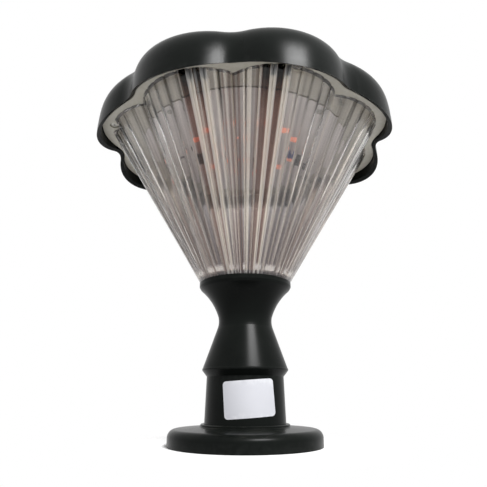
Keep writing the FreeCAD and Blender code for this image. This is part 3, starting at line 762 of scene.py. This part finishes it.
class PILLARLIGHT_OT_fluted_cone(bpy.types.Operator):
    """Clear cone with rounded flutes outside, a smooth wall inside and a lobed top edge"""
    bl_idname = "pillarlight.fluted_cone"
    bl_label = "Fluted cone"

    def dents(self):
        """Where the top edge draws in: the azimuth, the radius left there and half the width."""
        spots = [(azimuth_of(spot), 114.6 * MM, math.radians(5.5))
                 for spot in centres("tray_screws") if abs(spot.x) > abs(spot.y)]
        switch = middle(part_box("switch_nut"))
        return spots + [(azimuth_of(switch), 110.4 * MM, math.radians(10.0))]

    def rim(self, sizes, dents, turn):
        """Radius of the top edge, which follows the petals and draws in at the dents."""
        soften = 0.003
        broaden = 0.325
        crests = math.cos(0.5 * PETALS * (turn - PETAL_AZIMUTH)) ** 2
        lobe = (crests + soften) ** broaden
        radius = sizes.rim_valley + (sizes.rim_petal - sizes.rim_valley) * lobe
        for azimuth, limit, half_width in dents:
            away = abs((turn - azimuth + math.pi) % math.tau - math.pi)
            share = min(away / half_width, 1.0)
            radius = limit + (radius - limit) * share * share * (3.0 - 2.0 * share)
        return radius

    def execute(self, context):
        sizes = context.scene.pillar_light_sizes
        top_clearance = 0.3 * MM
        foot_clearance = 0.1 * MM
        foot_plate = 2.4 * MM
        foot_draft = 1.0 * MM
        pinhole = 0.2 * MM
        low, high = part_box("cone_diffuser")
        collar_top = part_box("neck_moulding")[1].z
        top = high.z - top_clearance
        floor = low.z + foot_plate
        inset = sizes.flute_depth + sizes.cone_wall

        # Points stand closer together in the grooves; across runs from -1 to 1 over a flute.
        steps = 12
        across = [math.sin(math.pi * (i / steps - 0.5)) for i in range(steps)]
        turns = [(k + 0.5 + 0.5 * side) * math.tau / sizes.flute_count
                 for k in range(sizes.flute_count) for side in across]
        dents = self.dents()
        reaches = [self.rim(sizes, dents, turn) - sizes.cone_foot for turn in turns]

        def slanted(t, depths):
            """Ring at a share t of the cone's height, with a depth for each point of a flute."""
            return [around(sizes.cone_foot + reach * t - depths[i % steps], turn,
                           collar_top + (top - collar_top) * t)
                    for i, (turn, reach) in enumerate(zip(turns, reaches))]

        def fluted(t):
            """Ring of flutes: a low crown on each, and a steep fall into the grooves."""
            crown = 0.12
            depth = sizes.flute_depth * (0.6 + 0.4 * t)
            return slanted(t, [depth * (crown * side ** 2 + (1.0 - crown) * abs(side) ** 9)
                               for side in across])

        def plain(radius, height):
            """Round and level ring."""
            return [around(radius, turn, height) for turn in turns]

        # Up the outside, down the inside, then round the foot that sits in the collar. The
        # plain ring at the foot runs over into the flutes in its last tenth.
        bands = 6
        levels = [k / bands for k in range(bands + 1)]
        flute_start = sizes.foot_ring / (top - collar_top)
        rings = [plain(sizes.cone_foot, collar_top + foot_clearance),
                 slanted(0.9 * flute_start, [0.0] * steps)]
        rings += [fluted(t) for t in (flute_start, *levels[1:])]
        rings += [slanted(t, [inset] * steps) for t in reversed(levels)]
        rings += [plain(sizes.cone_foot - inset - foot_draft, floor), plain(pinhole, floor),
                  plain(pinhole, low.z), plain(sizes.spigot, low.z),
                  plain(sizes.spigot, collar_top)]
        mesh = closed_rings("cone_fluted_shell", rings, 28.0)
        material = fluted_plastic(sizes, context.scene.pillar_light_colours, collar_top, high.z)
        add_piece("cone_fluted_shell", mesh, LAMP_BODY, "clear_fluted", material,
                  "cone_diffuser")
        return {"FINISHED"}


class PILLARLIGHT_OT_tray(bpy.types.Operator):
    """Warm grey plate that closes the cap from below"""
    bl_idname = "pillarlight.tray"
    bl_label = "Cap tray"

    def execute(self, context):
        colour = tuple(context.scene.pillar_light_colours.tray)
        cream = plastic("Warm grey tray", colour, (0.38, 0.5), grain=1400.0, spread=0.05,
                        rub=0.1)
        dress(cream, "reflector_tray", "board_pillars")
        return {"FINISHED"}


class PILLARLIGHT_OT_light_source(bpy.types.Operator):
    """White round board with its chips and plug"""
    bl_idname = "pillarlight.light_source"
    bl_label = "Light source"

    def execute(self, context):
        dress(board_material("White board", (0.86, 0.82, 0.82), (0.74, 0.70, 0.70)), "led_board")
        dress(plastic("Plug nylon", (0.62, 0.60, 0.54), (0.35, 0.5)), "led_connector")
        self.lamps()
        self.driver_parts()
        self.storage_part()
        self.small_parts()
        return {"FINISHED"}

    def lamps(self):
        """Small domed lamps with salmon phosphor, in the places of the plain chips."""
        # Radius and drop below the board, in mm.
        dome = [(2.3, 0.0), (2.3, 0.9), (1.9, 1.0), (1.9, 1.7), (1.7, 2.5), (1.2, 3.2),
                (0.5, 3.55)]
        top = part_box("led_chips")[1].z
        build = bmesh.new()
        for spot in centres("led_chips"):
            turned_solid(build, spot, [(r * MM, top - drop * MM) for r, drop in dome], 16)
        material = plastic("Salmon phosphor", (0.93, 0.36, 0.25), (0.12, 0.25), grain=900.0,
                           spread=0.12, Emission_Strength=0.45,
                           Emission_Color=(1.0, 0.38, 0.26, 1.0))
        add_piece("domed_lamps", finished("domed_lamps", build), LAMP_BODY,
                  "led_package", material, "led_chips")

    def driver_parts(self):
        """Dark driver bodies, three of them hung from the board on tinned legs."""
        # Length of the legs and size of each body in mm, from left to right.
        legs = (0.0, 2.4, 2.4, 2.0)
        bodies = ((4.8, 4.2, 2.6), (6.6, 4.6, 9.0), (7.0, 4.8, 9.4), (5.6, 4.4, 8.0))
        leg_places = (-1.3 * MM, 0.0, 1.3 * MM)
        leg_radius = 0.3 * MM
        leg_in_body = 0.4
        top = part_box("board_parts_dark")[1].z
        dark = bmesh.new()
        tin = bmesh.new()
        for spot, leg, body in zip(centres("board_parts_dark"), legs, bodies):
            soft_block(dark, Vector((spot.x, spot.y, top - (leg + body[2] / 2.0) * MM)),
                       Vector(body) * MM)
            end = top - (leg + leg_in_body) * MM
            for place in leg_places:
                turned_solid(tin, spot + Vector((place, 0.0, 0.0)),
                             [(leg_radius, top), (leg_radius, end)], 8)
        add_piece("driver_bodies", finished("driver_bodies", dark), LAMP_BODY, "chip_black",
                  plastic("Driver epoxy", (0.010, 0.006, 0.007), (0.35, 0.5),
                          Specular_IOR_Level=0.2),
                  "board_parts_dark")
        add_piece("driver_legs", finished("driver_legs", tin), LAMP_BODY, "zinc_steel",
                  metal("Tinned leg", (0.60, 0.59, 0.56)))

    def storage_part(self):
        """Blue sleeved can with its rolled groove and a dished end."""
        low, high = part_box("board_parts_blue")
        radius = (high.x - low.x) / 2.0
        # Shares of the radius and of the height, from the board down.
        shape = [(0.94, 0.0), (1.0, 0.06), (1.0, 0.16), (0.90, 0.20), (1.0, 0.24), (1.0, 0.93),
                 (0.90, 1.0), (0.72, 1.0), (0.70, 0.97)]
        build = bmesh.new()
        turned_solid(build, middle((low, high)),
                     [(radius * r, high.z - (high.z - low.z) * drop) for r, drop in shape], 24)
        add_piece("storage_can", finished("storage_can", build), LAMP_BODY, "can_blue",
                  plastic("Storage sleeve", (0.02, 0.045, 0.26), (0.25, 0.35)),
                  "board_parts_blue")

    def small_parts(self):
        """Small chip resistors round the driver parts on both sides."""
        size = Vector((3.0, 1.8, 1.2)) * MM
        # Places on the board in mm.
        spots = ((-68.0, 30.0), (-66.0, 22.0), (-62.0, 16.0), (-60.0, 26.0), (-51.0, -4.0),
                 (47.0, -5.0), (53.0, 17.0), (62.0, 31.0), (66.0, 24.0), (61.0, 40.0))
        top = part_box("led_board")[0].z
        build = bmesh.new()
        for x, y in spots:
            soft_block(build, Vector((x * MM, y * MM, top - size.z / 2.0)), size, 0.15 * MM)
        add_piece("chip_resistors", finished("chip_resistors", build), LAMP_BODY, "chip_black",
                  plastic("Resistor glaze", (0.05, 0.018, 0.018), (0.3, 0.4)))


class PILLARLIGHT_OT_electronics(bpy.types.Operator):
    """Charge controller, cell and switch inside the cap"""
    bl_idname = "pillarlight.electronics"
    bl_label = "Electronics"

    def execute(self, context):
        dress(board_material("Green board", (0.02, 0.16, 0.06), (0.04, 0.28, 0.10)),
              "controller_board")
        dress(plastic("Chip epoxy", (0.02, 0.02, 0.02), (0.45, 0.6)), "controller_chip")
        dress(plastic("Ferrite", (0.06, 0.06, 0.06), (0.5, 0.7), grain=900.0), "inductor")
        dress(plastic("Blue sleeve", (0.02, 0.05, 0.22), (0.25, 0.35), spread=0.1), "capacitor")
        dress(plastic("Cell sleeve", (0.03, 0.16, 0.38), (0.2, 0.32), spread=0.08),
              "battery_cell")
        dress(plastic("Holder black", (0.015, 0.015, 0.015), (0.4, 0.55)),
              "battery_holder", "holder_strap", "switch_body", "switch_button")
        return {"FINISHED"}


class PILLARLIGHT_OT_solar_panel(bpy.types.Operator):
    """Solar cells, their ribbons and the resin over them"""
    bl_idname = "pillarlight.solar_panel"
    bl_label = "Solar panel"

    def execute(self, context):
        dress(plastic("Panel laminate", (0.60, 0.60, 0.58), (0.4, 0.5), grain=700.0),
              "panel_substrate")
        dress(silicon_material(), "solar_cells")
        dress(metal("Tinned ribbon", (0.72, 0.72, 0.70), (0.3, 0.4)), "cell_ribbons")
        dress(resin_cover_material(), "panel_cover")
        return {"FINISHED"}


class PILLARLIGHT_OT_label(bpy.types.Operator):
    """Bare white sticker on the tube"""
    bl_idname = "pillarlight.label"
    bl_label = "Blank label"

    def execute(self, context):
        dress(plastic("Label paper", (0.49, 0.495, 0.53), (0.42, 0.55), grain=900.0,
                      spread=0.04, rub=0.2), "label_sticker")
        return {"FINISHED"}


class PILLARLIGHT_OT_seals_and_leads(bpy.types.Operator):
    """Rubber rings and insulated leads"""
    bl_idname = "pillarlight.seals_and_leads"
    bl_label = "Seals and leads"

    def execute(self, context):
        dress(plastic("Seal rubber", (0.015, 0.015, 0.015), (0.6, 0.8), grain=500.0,
                      depth=0.1 * MM), "base_gasket", "cone_seal", "tray_seal", "panel_seal")
        dress(plastic("Lead insulation", (0.40, 0.02, 0.02), (0.3, 0.4), spread=0.1),
              "panel_lead", "battery_lead", "led_lead", "switch_lead")
        return {"FINISHED"}


class PILLARLIGHT_OT_fasteners(bpy.types.Operator):
    """Zinc screws, fixing plate and nickel contacts"""
    bl_idname = "pillarlight.fasteners"
    bl_label = "Fasteners"

    def execute(self, context):
        zinc = metal("Zinc plate", (0.42, 0.41, 0.38), (0.35, 0.55))
        dress(zinc, "mounting_plate", "locking_studs")
        for name in ("base_neck_screws", "neck_cone_screws", "cone_top_screws", "tray_screws",
                     "led_board_screws", "board_screws"):
            screws(name, zinc)
        dress(metal("Nickel plate", (0.62, 0.60, 0.54), (0.2, 0.3)), "battery_contacts",
              "switch_nut")
        return {"FINISHED"}


class PILLARLIGHT_OT_stage(bpy.types.Operator):
    """Pale floor, soft light and the camera"""
    bl_idname = "pillarlight.stage"
    bl_label = "Stage"

    def execute(self, context):
        settings = context.scene.pillar_light_stage
        self.floor()
        self.surround(settings.world_level)
        self.key_light(settings.key_power)
        self.camera()
        context.scene.view_settings.view_transform = "Standard"
        return {"FINISHED"}

    def floor(self):
        """A round pale floor that fades out into the white surround."""
        reach = 1.2
        fade_start = 0.05
        fade_end = 0.13
        mesh = bpy.data.meshes.new("floor")
        build = bmesh.new()
        bmesh.ops.create_circle(build, cap_ends=True, segments=96, radius=reach)
        build.to_mesh(mesh)
        build.free()
        floor = bpy.data.objects.new("floor", mesh)
        bpy.context.scene.collection.objects.link(floor)
        material, tree, output = new_material("Pale floor")
        shader = principled(tree, output, Base_Color=(0.86, 0.86, 0.86, 1.0), Roughness=0.7,
                            Specular_IOR_Level=0.2)
        distance = tree.nodes.new("ShaderNodeVectorMath")
        distance.operation = "LENGTH"
        link(tree, object_place(tree), distance.inputs[0])
        link(tree, ramp(tree, distance.outputs["Value"], fade_start, fade_end, 1.0, 0.0,
                        "SMOOTHERSTEP"), shader.inputs["Alpha"])
        mesh.materials.append(material)

    def surround(self, level):
        """White to the camera, to gloss and through clear parts; softer on matt surfaces."""
        world = bpy.data.worlds.new("White surround")
        bpy.context.scene.world = world
        world.use_nodes = True
        tree = world.node_tree
        tree.nodes.clear()
        output = tree.nodes.new("ShaderNodeOutputWorld")
        path = tree.nodes.new("ShaderNodeLightPath")
        seen = math_node(tree, "MAXIMUM", path.outputs["Is Camera Ray"],
                         math_node(tree, "MAXIMUM", path.outputs["Is Glossy Ray"],
                                   path.outputs["Is Transmission Ray"]))
        background = tree.nodes.new("ShaderNodeBackground")
        background.inputs["Color"].default_value = (1.0, 1.0, 1.0, 1.0)
        link(tree, ramp(tree, seen, 0.0, 1.0, level, 1.0), background.inputs["Strength"])
        link(tree, background.outputs[0], output.inputs["Surface"])

    def key_light(self, power):
        """One broad soft light in front, above and to the right."""
        azimuth = math.radians(28.0)
        elevation = math.radians(42.0)
        distance = 1.2
        width = 0.48
        height = 0.19
        target = Vector((0.0, 0.0, 0.18))
        lamp = bpy.data.lights.new("Front softbox", "AREA")
        lamp.shape = "RECTANGLE"
        lamp.size = width
        lamp.size_y = height
        lamp.energy = power
        light = bpy.data.objects.new("Front softbox", lamp)
        bpy.context.scene.collection.objects.link(light)
        away = around(math.cos(elevation), azimuth, math.sin(elevation))
        light.location = target + away * distance
        light.rotation_euler = (-away).to_track_quat("-Z", "Y").to_euler()

    def camera(self):
        """Low camera that looks up at the underside of the cap."""
        distance = 387.0 * MM
        height = 37.9 * MM
        pitch = math.radians(18.0)
        lens = bpy.data.cameras.new("Camera")
        lens.sensor_width = 36.0
        lens.lens = 34.23
        lens.shift_x = -0.0035
        lens.dof.use_dof = False
        eye = bpy.data.objects.new("Camera", lens)
        bpy.context.scene.collection.objects.link(eye)
        eye.location = (0.0, -distance, height)
        eye.rotation_euler = (math.pi / 2.0 + pitch, 0.0, 0.0)
        bpy.context.scene.camera = eye


class PILLARLIGHT_PT_panel(bpy.types.Panel):
    """The settings of the light, and a button for each of its steps"""
    bl_label = "Pillar light"
    bl_idname = "PILLARLIGHT_PT_panel"
    bl_space_type = "VIEW_3D"
    bl_region_type = "UI"
    bl_category = "Pillar light"

    def draw(self, context):
        scene = context.scene
        for settings in (scene.pillar_light_sizes, scene.pillar_light_colours,
                         scene.pillar_light_stage):
            for name in settings.__annotations__:
                self.layout.prop(settings, name)
        for step in STEPS:
            self.layout.operator(step.bl_idname)


STEPS = (
    PILLARLIGHT_OT_shells,
    PILLARLIGHT_OT_fluted_cone,
    PILLARLIGHT_OT_tray,
    PILLARLIGHT_OT_light_source,
    PILLARLIGHT_OT_electronics,
    PILLARLIGHT_OT_solar_panel,
    PILLARLIGHT_OT_label,
    PILLARLIGHT_OT_seals_and_leads,
    PILLARLIGHT_OT_fasteners,
    PILLARLIGHT_OT_stage,
)
SETTINGS = {
    "pillar_light_sizes": PillarLightSizes,
    "pillar_light_colours": PillarLightColours,
    "pillar_light_stage": PillarLightStage,
}


def register():
    for name, group in SETTINGS.items():
        bpy.utils.register_class(group)
        setattr(bpy.types.Scene, name, PointerProperty(type=group))
    for cls in (*STEPS, PILLARLIGHT_PT_panel):
        bpy.utils.register_class(cls)


def unregister():
    for cls in (PILLARLIGHT_PT_panel, *reversed(STEPS)):
        bpy.utils.unregister_class(cls)
    for name, group in SETTINGS.items():
        delattr(bpy.types.Scene, name)
        bpy.utils.unregister_class(group)


def main():
    """Runs every step in order."""
    register()
    build_shared_groups()
    for step in STEPS:
        category, name = step.bl_idname.split(".")
        getattr(getattr(bpy.ops, category), name)()


if __name__ == "__main__":
    main()
